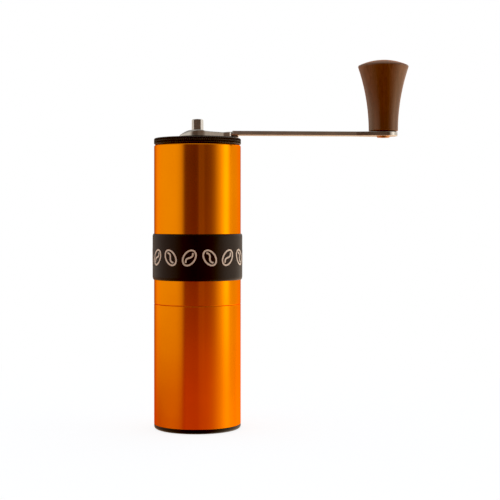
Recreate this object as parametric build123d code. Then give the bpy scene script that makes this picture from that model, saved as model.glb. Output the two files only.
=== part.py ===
"""Slim hand coffee grinder with a lift-off crank and a flared wooden knob.

Origin: centre of the base pad's rest face. +Z is up, and the crank points along +X.
Lengths are millimetres. Profiles of turned parts are lists of (radius, height).
"""
from build123d import *
import math
import os

# ---- Tube: two stacked sections of one diameter ----
TUBE_RADIUS = 23.0
CUP_LOW = 2.5
SEAM_HEIGHT = 65.8
SEAM_GAP = 0.05
TUBE_TOP = 149.8
CUP_INNER_RADIUS = 21.5
CUP_FLOOR = 6.0
CUP_FLOOR_RADIUS = 2.5
BODY_BORE_RADIUS = 20.5
COUNTERBORE_RADIUS = 21.3
COUNTERBORE_LOW = 134.0
CLIP_GROOVE = (143.0, 144.1)
CLIP_GROOVE_RADIUS = 21.85
EDGE_CHAMFER = 0.4
SEAM_CHAMFER = 0.2

# ---- Base pad ----
PAD_RADIUS = 22.7
PAD_PLUG_RADIUS = 20.45
PAD_PLUG_TOP = 4.0
PAD_EDGE_RADIUS = 1.2
PAD_GROOVE = (14.0, 17.0)
PAD_GROOVE_DEPTH = 0.5
PAD_RECESS_CLEARANCE = 0.05

# ---- Grip band ----
BAND_LOW = 78.9
BAND_HIGH = 102.9
BAND_INNER_RADIUS = TUBE_RADIUS + 0.02
BAND_OUTER_RADIUS = 23.8
BAND_EDGE_RADIUS = 0.7

# ---- Lid ----
LID_GAP = 0.03
LID_PLUG_LOW = 145.0
LID_PLUG_RADIUS = 21.15
LID_INNER_RADIUS = 18.6
LID_NECK_RADIUS = 21.6
LID_RIM_LOW = 150.5
LID_RIM_RADIUS = 22.9
LID_TOP = 153.4
LID_RECESS_TOP = 151.2
LID_RIM_ROUNDING = 0.7
LID_HOLE_RADIUS = 4.3
LID_BOSS_RADIUS = 7.5
LID_BOSS_TOP = 153.9
LID_GROOVE = (146.4, 148.0)
LID_GROOVE_RADIUS = 19.8
LID_O_RING_RADIUS = 20.52
LID_O_RING_SECTION = 0.7

# ---- Spindle and its five-sided end ----
SPINDLE_RADIUS = 3.97
SPINDLE_LOW = 54.2
SPINDLE_SHOULDER = 154.1
SPINDLE_TOP = 163.6
PENTAGON_RADIUS = 3.3
PENTAGON_CLEARANCE = 0.05
PENTAGON_TURN = 12.7
SPINDLE_TIP_CHAMFER = 0.6

# ---- Crank ----
CRANK_LENGTH = 100.0
STRIP_LOW = 155.2
STRIP_TOP = 157.4
STRIP_WIDTH = 10.0
STRIP_FLARE_LENGTH = 15.3
STRIP_FLARE_FOOT = 0.5
STRIP_END_RADIUS = 7.6
STRIP_EDGE = 0.25
HUB_RADIUS = 9.3
HUB_ROUNDING = 2.6
ROOT_WIDTH = 11.5
ROOT_START = 14.5
ROOT_END = 20.4
ROOT_CORNER_RADIUS = 3.0

# ---- Knob and its fastening ----
KNOB_LOW = 157.93
KNOB_FOOT_RADIUS = 7.85
KNOB_RIM_HEIGHT = 192.9
KNOB_RIM_RADIUS = 13.2
KNOB_TOP = 196.1
KNOB_RIM_ROUNDING = 0.5
INSERT_RADIUS = 4.5
INSERT_CLEARANCE = 0.02
INSERT_LOW = 158.03
INSERT_TOP = 170.0
INSERT_BORE_TOP = 170.2
INSERT_BORE_RADIUS = 2.5
KNOB_WASHER_RADIUS = 7.0
SCREW_HEAD_RADIUS = 3.7
SCREW_HEAD_LOW = 154.4
SCREW_HEAD_TAPER = 0.5
SCREW_SHOULDER_RADIUS = 2.97
SCREW_THREAD_RADIUS = 2.45
SCREW_THREAD_TOP = 168.0
SCREW_SOCKET_RADIUS = 1.45
SCREW_SOCKET_DEPTH = 1.4
ARM_HOLE_RADIUS = 3.0
PLAY = 0.03

# ---- Deep-groove bearings, 8 x 16 x 5 ----
BEARING_BORE_RADIUS = 4.0
BEARING_RADIUS = 8.0
BEARING_WIDTH = 5.0
INNER_RACE_RADIUS = 5.1
OUTER_RACE_INNER_RADIUS = 6.9
BALL_RADIUS = 1.15
BALL_COUNT = 8
BALL_PITCH_RADIUS = 6.0
BALL_CLEARANCE = 0.02
CAGE_HALF_WIDTH = 0.5
CAGE_HALF_HEIGHT = 1.5
SHIELD_THICKNESS = 0.25
SHIELD_INSET = 0.1
SHIELD_CLEARANCE = 0.1
UPPER_BEARING_LOW = 137.0
LOWER_BEARING_LOW = 79.0

# ---- Bearing carriers, three arms each ----
ARM_COUNT = 3
ARM_WIDTH = 6.0
ARM_START_ANGLE = 60.0
ARM_HUB_OVERLAP = 0.8
ARM_RING_OVERLAP = 0.6
CARRIER_LEDGE_RADIUS = 6.55
BRIDGE_RING = (19.4, 21.25)
BRIDGE_HIGH = 143.0
BRIDGE_HUB_RADIUS = 10.5
BRIDGE_HUB_SPAN = (135.5, 141.6)
BRIDGE_ARM_SPAN = (136.0, 141.0)
SPIDER_RING = (18.0, 20.45)
SPIDER_LOW = 76.0
SPIDER_HIGH = 86.0
SPIDER_HUB_RADIUS = 10.0
SPIDER_HUB_SPAN = (77.2, 84.4)
SPIDER_ARM_SPAN = (77.6, 83.6)
CIRCLIP_RADII = (20.0, 21.7)
CIRCLIP_CLEARANCE = 0.05
CIRCLIP_GAP = 6.0
CIRCLIP_EAR_RADIUS = 1.6
CIRCLIP_EAR_INSET = 0.4
CIRCLIP_EYE_RADIUS = 0.8

# ---- Burr housing and grinding burrs ----
HOUSING_LOW = 54.0
HOUSING_HIGH = SPIDER_LOW
HOUSING_UPPER_RADIUS = 20.48
HOUSING_BORE_RADIUS = 18.0
SPIGOT_RADIUS = 21.3
BURR_SEAT_RADIUS = 19.0
BURR_SEAT_TOP = 70.0
SPIGOT_GROOVE = (61.05, 62.95)
SPIGOT_GROOVE_RADIUS = 20.2
SPIGOT_O_RING_RADIUS = 20.82
SPIGOT_O_RING_SECTION = 0.6
OUTER_BURR_RADIUS = 18.97
OUTER_BURR_LOW = 56.0
OUTER_BURR_MOUTH_RADIUS = 16.4
OUTER_BURR_THROAT = (15.2, 61.0)
OUTER_BURR_TOP_RADIUS = 12.8
INNER_BURR_LOW = 54.0
INNER_BURR_UNDERCUT = 1.0
INNER_BURR_FOOT = (15.9, 55.6)
INNER_BURR_THROAT = (14.55, 61.0)
INNER_BURR_TOP = (8.5, 72.0)
FINE_TEETH = 36
FINE_TOOTH_SIZE = 0.9
FINE_TOOTH_SKEW = 18.0
CRUSH_TEETH = 6
CRUSH_TOOTH_SIZE = 3.0
CRUSH_TOOTH_SKEW = 30.0
TOOTH_OVERRUN = 1.25
GRUB_COUNT = 3
GRUB_RADIUS = 1.47
GRUB_HOLE_RADIUS = 1.5
GRUB_HEIGHT = 57.8
GRUB_SPAN = (19.0, 21.2)
GRUB_SOCKET_RADIUS = 0.85
GRUB_SOCKET_DEPTH = 1.2

# ---- Spindle hardware ----
DRIVE_PIN_RADIUS = 0.98
DRIVE_PIN_HOLE_RADIUS = 1.0
DRIVE_PIN_HEIGHT = 70.8
DRIVE_PIN_LENGTH = 13.0
BURR_SLOT_WIDTH = 2.05
BURR_SLOT_END_CLEARANCE = 0.1
BURR_WASHER_LOW = 52.8
BURR_WASHER_RADIUS = 8.0
BURR_WASHER_BORE_RADIUS = 2.58
BOLT_HEAD_LOW = 49.3
BOLT_HEAD_RADIUS = 4.6
BOLT_HEAD_TAPER = (0.6, 0.5)
BOLT_SHANK_RADIUS = 2.48
BOLT_SHANK_TOP = 64.0
BOLT_HOLE_RADIUS = 2.5
BOLT_HOLE_TOP = 65.0
SPRING_RADIUS = 5.2
SPRING_WIRE_RADIUS = 0.4
SPRING_TURNS = 4
SPRING_LOW = 72.0
SPRING_HIGH = 78.4
SPRING_WASHER = (4.1, 6.2, 78.42, 78.97)

# ---- Adjuster dial ----
DIAL_RADIUS = 11.5
DIAL_LOW = 142.4
DIAL_HIGH = 147.5
DIAL_BORE_RADIUS = 4.02
DIAL_BOSS_RADIUS = 5.0
DIAL_BOSS_LOW = 142.02
DIAL_SCALLOPS = 36
DIAL_SCALLOP_RADIUS = 0.6
DIAL_SCALLOP_OFFSET = 0.2

# ---- Modelling allowance: how far a cutting tool runs past the face it cuts ----
OVERRUN = 1.0


def turned(*profile):
    """Solid of revolution about Z from a closed profile of (radius, height) points."""
    outline = Polyline([(radius, 0, height) for radius, height in profile], close=True)
    return revolve(make_face(outline), Axis.Z)


def sleeve(inner, outer, low, high):
    """Plain ring between two radii and two heights."""
    return turned((inner, low), (outer, low), (outer, high), (inner, high))


def rims(solid, radius, height):
    """Circular edges of a turned solid at one radius and one height."""
    circles = solid.edges().filter_by(GeomType.CIRCLE)
    return [
        edge for edge in circles
        if abs(edge.radius - radius) < 0.01 and abs(edge.arc_center.Z - height) < 0.01
    ]


def block(low_x, high_x, width, low_z, high_z):
    """Box centred on the X axis between two X and two Z positions."""
    middle = Pos((low_x + high_x) / 2, 0, (low_z + high_z) / 2)
    return middle * Box(high_x - low_x, width, high_z - low_z)


def slab(plan, low, high):
    """Flat plan pulled up from one height to another."""
    return extrude(Pos(0, 0, low) * plan, high - low)


def make_base_pad():
    groove_in, groove_out = PAD_GROOVE
    pad = turned(
        (0, 0), (groove_in, 0), (groove_in, PAD_GROOVE_DEPTH), (groove_out, PAD_GROOVE_DEPTH),
        (groove_out, 0), (PAD_RADIUS, 0), (PAD_RADIUS, CUP_LOW), (PAD_PLUG_RADIUS, CUP_LOW),
        (PAD_PLUG_RADIUS, PAD_PLUG_TOP), (0, PAD_PLUG_TOP),
    )
    return fillet(rims(pad, PAD_RADIUS, 0), PAD_EDGE_RADIUS)


def make_collection_cup():
    recess_radius = PAD_PLUG_RADIUS + PAD_RECESS_CLEARANCE
    cup = turned(
        (0, PAD_PLUG_TOP), (recess_radius, PAD_PLUG_TOP), (recess_radius, CUP_LOW),
        (TUBE_RADIUS, CUP_LOW), (TUBE_RADIUS, SEAM_HEIGHT), (CUP_INNER_RADIUS, SEAM_HEIGHT),
        (CUP_INNER_RADIUS, CUP_FLOOR), (0, CUP_FLOOR),
    )
    cup = fillet(rims(cup, CUP_INNER_RADIUS, CUP_FLOOR), CUP_FLOOR_RADIUS)
    cup = chamfer(rims(cup, TUBE_RADIUS, CUP_LOW), EDGE_CHAMFER)
    return chamfer(rims(cup, TUBE_RADIUS, SEAM_HEIGHT), SEAM_CHAMFER)


def make_body_tube():
    low = SEAM_HEIGHT + SEAM_GAP
    groove_low, groove_high = CLIP_GROOVE
    tube = turned(
        (BODY_BORE_RADIUS, low), (TUBE_RADIUS, low), (TUBE_RADIUS, TUBE_TOP),
        (COUNTERBORE_RADIUS, TUBE_TOP), (COUNTERBORE_RADIUS, groove_high),
        (CLIP_GROOVE_RADIUS, groove_high), (CLIP_GROOVE_RADIUS, groove_low),
        (COUNTERBORE_RADIUS, groove_low), (COUNTERBORE_RADIUS, COUNTERBORE_LOW),
        (BODY_BORE_RADIUS, COUNTERBORE_LOW),
    )
    tube = chamfer(rims(tube, TUBE_RADIUS, TUBE_TOP), EDGE_CHAMFER)
    return chamfer(rims(tube, TUBE_RADIUS, low), SEAM_CHAMFER)


def make_grip_band():
    band = sleeve(BAND_INNER_RADIUS, BAND_OUTER_RADIUS, BAND_LOW, BAND_HIGH)
    edges = rims(band, BAND_OUTER_RADIUS, BAND_LOW) + rims(band, BAND_OUTER_RADIUS, BAND_HIGH)
    return fillet(edges, BAND_EDGE_RADIUS)


def make_lid():
    neck_low = TUBE_TOP + LID_GAP
    groove_low, groove_high = LID_GROOVE
    lid = turned(
        (LID_HOLE_RADIUS, LID_RECESS_TOP), (LID_INNER_RADIUS, LID_RECESS_TOP),
        (LID_INNER_RADIUS, LID_PLUG_LOW), (LID_PLUG_RADIUS, LID_PLUG_LOW),
        (LID_PLUG_RADIUS, groove_low), (LID_GROOVE_RADIUS, groove_low),
        (LID_GROOVE_RADIUS, groove_high), (LID_PLUG_RADIUS, groove_high),
        (LID_PLUG_RADIUS, neck_low), (LID_NECK_RADIUS, neck_low),
        (LID_NECK_RADIUS, LID_RIM_LOW), (LID_RIM_RADIUS, LID_RIM_LOW),
        (LID_RIM_RADIUS, LID_TOP), (LID_BOSS_RADIUS, LID_TOP),
        (LID_BOSS_RADIUS, LID_BOSS_TOP), (LID_HOLE_RADIUS, LID_BOSS_TOP),
    )
    edges = rims(lid, LID_RIM_RADIUS, LID_RIM_LOW) + rims(lid, LID_RIM_RADIUS, LID_TOP)
    return fillet(edges, LID_RIM_ROUNDING)


def make_lid_o_ring():
    middle = sum(LID_GROOVE) / 2
    return Pos(0, 0, middle) * Torus(LID_O_RING_RADIUS, LID_O_RING_SECTION)


def make_bearing(low):
    """Outer race, inner race, balls, cage and shields of a bearing that starts at height low."""
    high = low + BEARING_WIDTH
    middle = (low + high) / 2
    ball_pocket = BALL_RADIUS + BALL_CLEARANCE
    groove = Pos(0, 0, middle) * Torus(BALL_PITCH_RADIUS, ball_pocket)
    places = [Pos(0, 0, middle) * spot for spot in PolarLocations(BALL_PITCH_RADIUS, BALL_COUNT)]
    cage = sleeve(
        BALL_PITCH_RADIUS - CAGE_HALF_WIDTH, BALL_PITCH_RADIUS + CAGE_HALF_WIDTH,
        middle - CAGE_HALF_HEIGHT, middle + CAGE_HALF_HEIGHT,
    )
    pocket = Rot(0, 90, 0) * Cylinder(ball_pocket, 4 * CAGE_HALF_WIDTH)
    shield_inner = INNER_RACE_RADIUS + SHIELD_CLEARANCE
    shield_low = low + SHIELD_INSET
    shield_high = high - SHIELD_INSET - SHIELD_THICKNESS
    return {
        "outer_race": sleeve(OUTER_RACE_INNER_RADIUS, BEARING_RADIUS, low, high) - groove,
        "inner_race": sleeve(BEARING_BORE_RADIUS, INNER_RACE_RADIUS, low, high) - groove,
        "balls": Compound([place * Sphere(BALL_RADIUS) for place in places]),
        "cage": cage - [place * pocket for place in places],
        "shields": Compound([
            sleeve(shield_inner, OUTER_RACE_INNER_RADIUS, start, start + SHIELD_THICKNESS)
            for start in (shield_low, shield_high)
        ]),
    }


def make_carrier(ring, ring_span, hub_radius, hub_span, seat_low, arm_span):
    """Outer ring joined by three arms to a hub that seats a bearing from above."""
    ring_inner, ring_outer = ring
    hub_low, hub_high = hub_span
    hub = turned(
        (CARRIER_LEDGE_RADIUS, hub_low), (hub_radius, hub_low), (hub_radius, hub_high),
        (BEARING_RADIUS, hub_high), (BEARING_RADIUS, seat_low), (CARRIER_LEDGE_RADIUS, seat_low),
    )
    arm_start = hub_radius - ARM_HUB_OVERLAP
    arm = block(arm_start, ring_inner + ARM_RING_OVERLAP, ARM_WIDTH, *arm_span)
    carrier = hub + sleeve(ring_inner, ring_outer, *ring_span)
    for spot in PolarLocations(0, ARM_COUNT, start_angle=ARM_START_ANGLE):
        carrier += spot * arm
    return carrier


def make_upper_bridge():
    return make_carrier(
        BRIDGE_RING, (COUNTERBORE_LOW, BRIDGE_HIGH), BRIDGE_HUB_RADIUS, BRIDGE_HUB_SPAN,
        UPPER_BEARING_LOW, BRIDGE_ARM_SPAN,
    )


def make_lower_spider():
    return make_carrier(
        SPIDER_RING, (SPIDER_LOW, SPIDER_HIGH), SPIDER_HUB_RADIUS, SPIDER_HUB_SPAN,
        LOWER_BEARING_LOW, SPIDER_ARM_SPAN,
    )


def make_bridge_circlip():
    """Snap ring with an open gap and two eyed ears."""
    inner, outer = CIRCLIP_RADII
    groove_low, groove_high = CLIP_GROOVE
    low = groove_low + CIRCLIP_CLEARANCE
    high = groove_high - CIRCLIP_CLEARANCE
    gap = block(inner - OVERRUN, outer + OVERRUN, CIRCLIP_GAP, low - OVERRUN, high + OVERRUN)
    clip = sleeve(inner, outer, low, high) - gap
    ear_offset = CIRCLIP_GAP / 2 + CIRCLIP_EAR_RADIUS
    for side in (-1, 1):
        ear_place = Pos(inner - CIRCLIP_EAR_INSET, side * ear_offset, (low + high) / 2)
        clip += ear_place * Cylinder(CIRCLIP_EAR_RADIUS, high - low)
        clip -= ear_place * Cylinder(CIRCLIP_EYE_RADIUS, high - low + OVERRUN)
    return clip


def make_burr_housing():
    groove_low, groove_high = SPIGOT_GROOVE
    housing = turned(
        (BURR_SEAT_RADIUS, HOUSING_LOW), (SPIGOT_RADIUS, HOUSING_LOW), (SPIGOT_RADIUS, groove_low),
        (SPIGOT_GROOVE_RADIUS, groove_low), (SPIGOT_GROOVE_RADIUS, groove_high),
        (SPIGOT_RADIUS, groove_high), (SPIGOT_RADIUS, SEAM_HEIGHT),
        (HOUSING_UPPER_RADIUS, SEAM_HEIGHT), (HOUSING_UPPER_RADIUS, HOUSING_HIGH),
        (HOUSING_BORE_RADIUS, HOUSING_HIGH), (HOUSING_BORE_RADIUS, BURR_SEAT_TOP),
        (BURR_SEAT_RADIUS, BURR_SEAT_TOP),
    )
    wall_middle = (BURR_SEAT_RADIUS + SPIGOT_RADIUS) / 2
    hole_length = SPIGOT_RADIUS - BURR_SEAT_RADIUS + 2 * OVERRUN
    hole = Pos(wall_middle, 0, GRUB_HEIGHT) * Rot(0, 90, 0) * Cylinder(GRUB_HOLE_RADIUS, hole_length)
    return housing - [spot * hole for spot in PolarLocations(0, GRUB_COUNT)]


def make_burr_grub_screws():
    """Set screws that bear on the outer burr, with hexagonal sockets facing out."""
    start, end = GRUB_SPAN
    length = end - start
    socket_plan = RegularPolygon(GRUB_SOCKET_RADIUS, 6)
    socket = slab(socket_plan, length - GRUB_SOCKET_DEPTH, length + OVERRUN)
    screw = Pos(start, 0, GRUB_HEIGHT) * Rot(0, 90, 0) * (sleeve(0, GRUB_RADIUS, 0, length) - socket)
    return Compound([spot * screw for spot in PolarLocations(0, GRUB_COUNT)])


def make_spigot_o_ring():
    middle = sum(SPIGOT_GROOVE) / 2
    return Pos(0, 0, middle) * Torus(SPIGOT_O_RING_RADIUS, SPIGOT_O_RING_SECTION)


def tooth_cutters(count, start, end, size, skew):
    """V-groove cutters that lie along a cone from one (radius, height) point to another."""
    rise = end[1] - start[1]
    spread = end[0] - start[0]
    lean = math.degrees(math.atan2(spread, rise))
    length = TOOTH_OVERRUN * math.hypot(rise, spread)
    middle = Pos((start[0] + end[0]) / 2, 0, (start[1] + end[1]) / 2)
    direction = Rot(0, lean, 0) * Rot(skew, 0, 0) * Rot(0, 0, 45)
    cutter = middle * direction * Box(size, size, length)
    return [spot * cutter for spot in PolarLocations(0, count)]


def make_outer_burr():
    """Ring burr whose toothed cone opens downwards."""
    mouth = (OUTER_BURR_MOUTH_RADIUS, OUTER_BURR_LOW)
    top = (OUTER_BURR_TOP_RADIUS, BURR_SEAT_TOP)
    burr = turned(
        mouth, (OUTER_BURR_RADIUS, OUTER_BURR_LOW), (OUTER_BURR_RADIUS, BURR_SEAT_TOP), top,
        OUTER_BURR_THROAT,
    )
    fine = tooth_cutters(FINE_TEETH, mouth, OUTER_BURR_THROAT, FINE_TOOTH_SIZE, FINE_TOOTH_SKEW)
    crush = tooth_cutters(CRUSH_TEETH, OUTER_BURR_THROAT, top, CRUSH_TOOTH_SIZE, -CRUSH_TOOTH_SKEW)
    return burr - fine - crush


def make_inner_burr():
    """Cone burr with feed flutes above, fine teeth below and a slot for the drive pin."""
    foot, throat, top = INNER_BURR_FOOT, INNER_BURR_THROAT, INNER_BURR_TOP
    burr = turned(
        (BEARING_BORE_RADIUS, INNER_BURR_LOW), (foot[0] - INNER_BURR_UNDERCUT, INNER_BURR_LOW), foot,
        throat, top, (BEARING_BORE_RADIUS, top[1]),
    )
    fine = tooth_cutters(FINE_TEETH, foot, throat, FINE_TOOTH_SIZE, -FINE_TOOTH_SKEW)
    crush = tooth_cutters(CRUSH_TEETH, throat, top, CRUSH_TOOTH_SIZE, CRUSH_TOOTH_SKEW)
    slot_reach = DRIVE_PIN_LENGTH / 2 + BURR_SLOT_END_CLEARANCE
    slot_low = DRIVE_PIN_HEIGHT - BURR_SLOT_WIDTH / 2
    slot = block(-slot_reach, slot_reach, BURR_SLOT_WIDTH, slot_low, top[1] + OVERRUN)
    return burr - fine - crush - slot


def pentagon(radius):
    """Five-sided drive section, turned to the crank."""
    return RegularPolygon(radius, 5, rotation=PENTAGON_TURN)


def cross_rod(radius, length):
    """Rod along X, across the spindle at the drive pin's height."""
    return Pos(0, 0, DRIVE_PIN_HEIGHT) * Rot(0, 90, 0) * Cylinder(radius, length)


def make_spindle():
    """Round shaft with a tapped lower end, a cross hole and a five-sided upper end."""
    shaft = sleeve(0, SPINDLE_RADIUS, SPINDLE_LOW, SPINDLE_SHOULDER)
    tip = slab(pentagon(PENTAGON_RADIUS), SPINDLE_SHOULDER, SPINDLE_TOP)
    tip = chamfer(tip.faces().sort_by(Axis.Z)[-1].edges(), SPINDLE_TIP_CHAMFER)
    cross_hole = cross_rod(DRIVE_PIN_HOLE_RADIUS, 2 * (SPINDLE_RADIUS + OVERRUN))
    return shaft + tip - cross_hole - sleeve(0, BOLT_HOLE_RADIUS, SPINDLE_LOW, BOLT_HOLE_TOP)


def make_burr_drive_pin():
    return cross_rod(DRIVE_PIN_RADIUS, DRIVE_PIN_LENGTH)


def make_burr_washer():
    return sleeve(BURR_WASHER_BORE_RADIUS, BURR_WASHER_RADIUS, BURR_WASHER_LOW, INNER_BURR_LOW)


def make_burr_bolt():
    """Hexagon-headed bolt, head down, that clamps the inner burr to the spindle."""
    taper_width, taper_height = BOLT_HEAD_TAPER
    head = slab(RegularPolygon(BOLT_HEAD_RADIUS, 6), BOLT_HEAD_LOW, BURR_WASHER_LOW)
    tapered = turned(
        (0, BOLT_HEAD_LOW), (BOLT_HEAD_RADIUS - taper_width, BOLT_HEAD_LOW),
        (BOLT_HEAD_RADIUS, BOLT_HEAD_LOW + taper_height), (BOLT_HEAD_RADIUS, BURR_WASHER_LOW),
        (0, BURR_WASHER_LOW),
    )
    return (head & tapered) + sleeve(0, BOLT_SHANK_RADIUS, BURR_WASHER_LOW, BOLT_SHANK_TOP)


def make_preload_spring():
    height = SPRING_HIGH - SPRING_LOW - 2 * SPRING_WIRE_RADIUS
    start = Pos(0, 0, SPRING_LOW + SPRING_WIRE_RADIUS)
    coil = start * Helix(height / SPRING_TURNS, height, SPRING_RADIUS)
    section = Plane(origin=coil @ 0, z_dir=coil % 0) * Circle(SPRING_WIRE_RADIUS)
    return sweep(section, path=coil, is_frenet=True)


def make_adjuster_dial():
    """Threaded dial with a scalloped edge and a low boss that bears on the bearing."""
    dial = turned(
        (DIAL_BORE_RADIUS, DIAL_BOSS_LOW), (DIAL_BOSS_RADIUS, DIAL_BOSS_LOW),
        (DIAL_BOSS_RADIUS, DIAL_LOW), (DIAL_RADIUS, DIAL_LOW), (DIAL_RADIUS, DIAL_HIGH),
        (DIAL_BORE_RADIUS, DIAL_HIGH),
    )
    dial = chamfer(rims(dial, DIAL_RADIUS, DIAL_HIGH), EDGE_CHAMFER)
    scallop = sleeve(0, DIAL_SCALLOP_RADIUS, DIAL_LOW - OVERRUN, DIAL_HIGH + OVERRUN)
    spots = PolarLocations(DIAL_RADIUS + DIAL_SCALLOP_OFFSET, DIAL_SCALLOPS)
    return dial - [spot * scallop for spot in spots]


def make_crank_arm():
    """Flat strip with a thick, rounded hub and a round end for the knob."""
    end_disc = Pos(CRANK_LENGTH, 0) * Circle(STRIP_END_RADIUS)
    flare_start = CRANK_LENGTH - STRIP_FLARE_LENGTH
    strip_start = ROOT_END - ROOT_CORNER_RADIUS
    strip_middle = (strip_start + flare_start) / 2
    straight = Pos(strip_middle, 0) * Rectangle(flare_start - strip_start, STRIP_WIDTH)
    flare_foot = Pos(flare_start, 0) * Rectangle(STRIP_FLARE_FOOT, STRIP_WIDTH)
    strip_plan = straight + make_hull((end_disc + flare_foot).edges())
    hole = sleeve(0, ARM_HOLE_RADIUS, STRIP_LOW - OVERRUN, STRIP_TOP + OVERRUN)
    strip = slab(strip_plan, STRIP_LOW, STRIP_TOP) - Pos(CRANK_LENGTH, 0, 0) * hole
    flat_faces = strip.faces().filter_by(Axis.Z)
    strip = chamfer(flat_faces.edges(), STRIP_EDGE)
    root_middle = (ROOT_START + ROOT_END) / 2
    root = Pos(root_middle, 0) * Rectangle(ROOT_END - ROOT_START, ROOT_WIDTH)
    hub_plan = make_hull((Circle(HUB_RADIUS) + root).edges())
    far_corners = hub_plan.vertices().sort_by(Axis.X)[-2:]
    hub = slab(fillet(far_corners, ROOT_CORNER_RADIUS), SPINDLE_SHOULDER, STRIP_TOP)
    hub = fillet(hub.faces().sort_by(Axis.Z)[-1].edges(), HUB_ROUNDING)
    hole_plan = pentagon(PENTAGON_RADIUS + PENTAGON_CLEARANCE)
    return hub + strip - slab(hole_plan, SPINDLE_SHOULDER - OVERRUN, STRIP_TOP + OVERRUN)


def make_knob():
    """Flared wooden grip: tangent arc up the side, shallow dome on top, blind bore below."""
    foot = (KNOB_FOOT_RADIUS, 0, KNOB_LOW)
    rim = (KNOB_RIM_RADIUS, 0, KNOB_RIM_HEIGHT)
    side = TangentArc(foot, rim, tangent=(0, 0, 1))
    dome = TangentArc((0, 0, KNOB_TOP), rim, tangent=(1, 0, 0))
    inside = Polyline(
        (0, 0, KNOB_TOP), (0, 0, INSERT_BORE_TOP), (INSERT_RADIUS, 0, INSERT_BORE_TOP),
        (INSERT_RADIUS, 0, KNOB_LOW), foot,
    )
    knob = revolve(make_face([side, dome, inside]), Axis.Z)
    knob = fillet(rims(knob, KNOB_RIM_RADIUS, KNOB_RIM_HEIGHT), KNOB_RIM_ROUNDING)
    return Pos(CRANK_LENGTH, 0, 0) * knob


def make_knob_insert():
    insert = sleeve(INSERT_BORE_RADIUS, INSERT_RADIUS - INSERT_CLEARANCE, INSERT_LOW, INSERT_TOP)
    return Pos(CRANK_LENGTH, 0, 0) * insert


def make_knob_washer():
    washer = sleeve(ARM_HOLE_RADIUS, KNOB_WASHER_RADIUS, STRIP_TOP + PLAY, KNOB_LOW)
    return Pos(CRANK_LENGTH, 0, 0) * washer


def make_knob_screw():
    """Shoulder screw from below: low head, bearing shoulder and thread."""
    head_top = STRIP_LOW - PLAY
    screw = turned(
        (0, SCREW_HEAD_LOW), (SCREW_HEAD_RADIUS - SCREW_HEAD_TAPER, SCREW_HEAD_LOW),
        (SCREW_HEAD_RADIUS, head_top), (SCREW_SHOULDER_RADIUS, head_top),
        (SCREW_SHOULDER_RADIUS, KNOB_LOW), (SCREW_THREAD_RADIUS, KNOB_LOW),
        (SCREW_THREAD_RADIUS, SCREW_THREAD_TOP), (0, SCREW_THREAD_TOP),
    )
    socket_plan = RegularPolygon(SCREW_SOCKET_RADIUS, 6)
    socket = slab(socket_plan, SCREW_HEAD_LOW, SCREW_HEAD_LOW + SCREW_SOCKET_DEPTH)
    return Pos(CRANK_LENGTH, 0, 0) * (screw - socket)


def make_nodes():
    """Every separate piece by its node name."""
    nodes = {
        "base_pad": make_base_pad(),
        "collection_cup": make_collection_cup(),
        "body_tube": make_body_tube(),
        "grip_band": make_grip_band(),
        "lid": make_lid(),
        "lid_o_ring": make_lid_o_ring(),
        "upper_bridge": make_upper_bridge(),
        "bridge_circlip": make_bridge_circlip(),
        "lower_spider": make_lower_spider(),
        "burr_housing": make_burr_housing(),
        "spigot_o_ring": make_spigot_o_ring(),
        "outer_burr": make_outer_burr(),
        "burr_grub_screws": make_burr_grub_screws(),
        "inner_burr": make_inner_burr(),
        "spindle": make_spindle(),
        "burr_drive_pin": make_burr_drive_pin(),
        "burr_washer": make_burr_washer(),
        "burr_bolt": make_burr_bolt(),
        "preload_spring": make_preload_spring(),
        "spring_washer": sleeve(*SPRING_WASHER),
        "adjuster_dial": make_adjuster_dial(),
        "crank_arm": make_crank_arm(),
        "knob": make_knob(),
        "knob_insert": make_knob_insert(),
        "knob_washer": make_knob_washer(),
        "knob_screw": make_knob_screw(),
    }
    for place, low in (("upper", UPPER_BEARING_LOW), ("lower", LOWER_BEARING_LOW)):
        for piece, solid in make_bearing(low).items():
            nodes[f"{place}_bearing_{piece}"] = solid
    return nodes


os.makedirs("parts", exist_ok=True)
for node, shape in make_nodes().items():
    export_step(shape, f"parts/{node}.step")
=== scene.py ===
"""Studio scene of a slim hand coffee grinder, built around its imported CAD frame.

The frame is in metres, and the profiles and plans of pieces are written in millimetres.
The cup and tube shells, foot pad, grip band, lid, spindle, crank, knob and spring are rebuilt here
as finer pieces on the CAD's own sizes, and the band's print and the dial's scale are added. Every
other CAD node keeps its mesh and gets a better material.
"""
import bmesh
import bpy
import math
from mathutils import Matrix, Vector


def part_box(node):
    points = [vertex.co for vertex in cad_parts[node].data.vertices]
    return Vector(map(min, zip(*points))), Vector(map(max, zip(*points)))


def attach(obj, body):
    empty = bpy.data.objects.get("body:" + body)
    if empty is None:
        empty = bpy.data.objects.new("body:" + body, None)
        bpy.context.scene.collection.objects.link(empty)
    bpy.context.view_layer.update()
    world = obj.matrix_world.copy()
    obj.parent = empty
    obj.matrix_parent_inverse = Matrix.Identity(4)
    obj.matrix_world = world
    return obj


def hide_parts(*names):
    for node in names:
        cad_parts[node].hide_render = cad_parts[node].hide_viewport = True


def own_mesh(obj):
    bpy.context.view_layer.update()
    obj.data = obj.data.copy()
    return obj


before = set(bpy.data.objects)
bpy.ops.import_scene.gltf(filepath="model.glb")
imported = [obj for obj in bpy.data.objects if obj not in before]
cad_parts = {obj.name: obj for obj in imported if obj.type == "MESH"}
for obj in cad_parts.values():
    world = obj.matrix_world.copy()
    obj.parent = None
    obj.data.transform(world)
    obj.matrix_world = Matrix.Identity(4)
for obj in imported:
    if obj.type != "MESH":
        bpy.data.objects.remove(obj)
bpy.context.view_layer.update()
MM = 0.001
FULL_TURN = 2 * math.pi
QUARTER_TURN = math.pi / 2
MERGE_DISTANCE = 1e-7
SHARP_DEGREES = 32.0
PENTAGON_TURN = math.radians(12.7)
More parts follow.
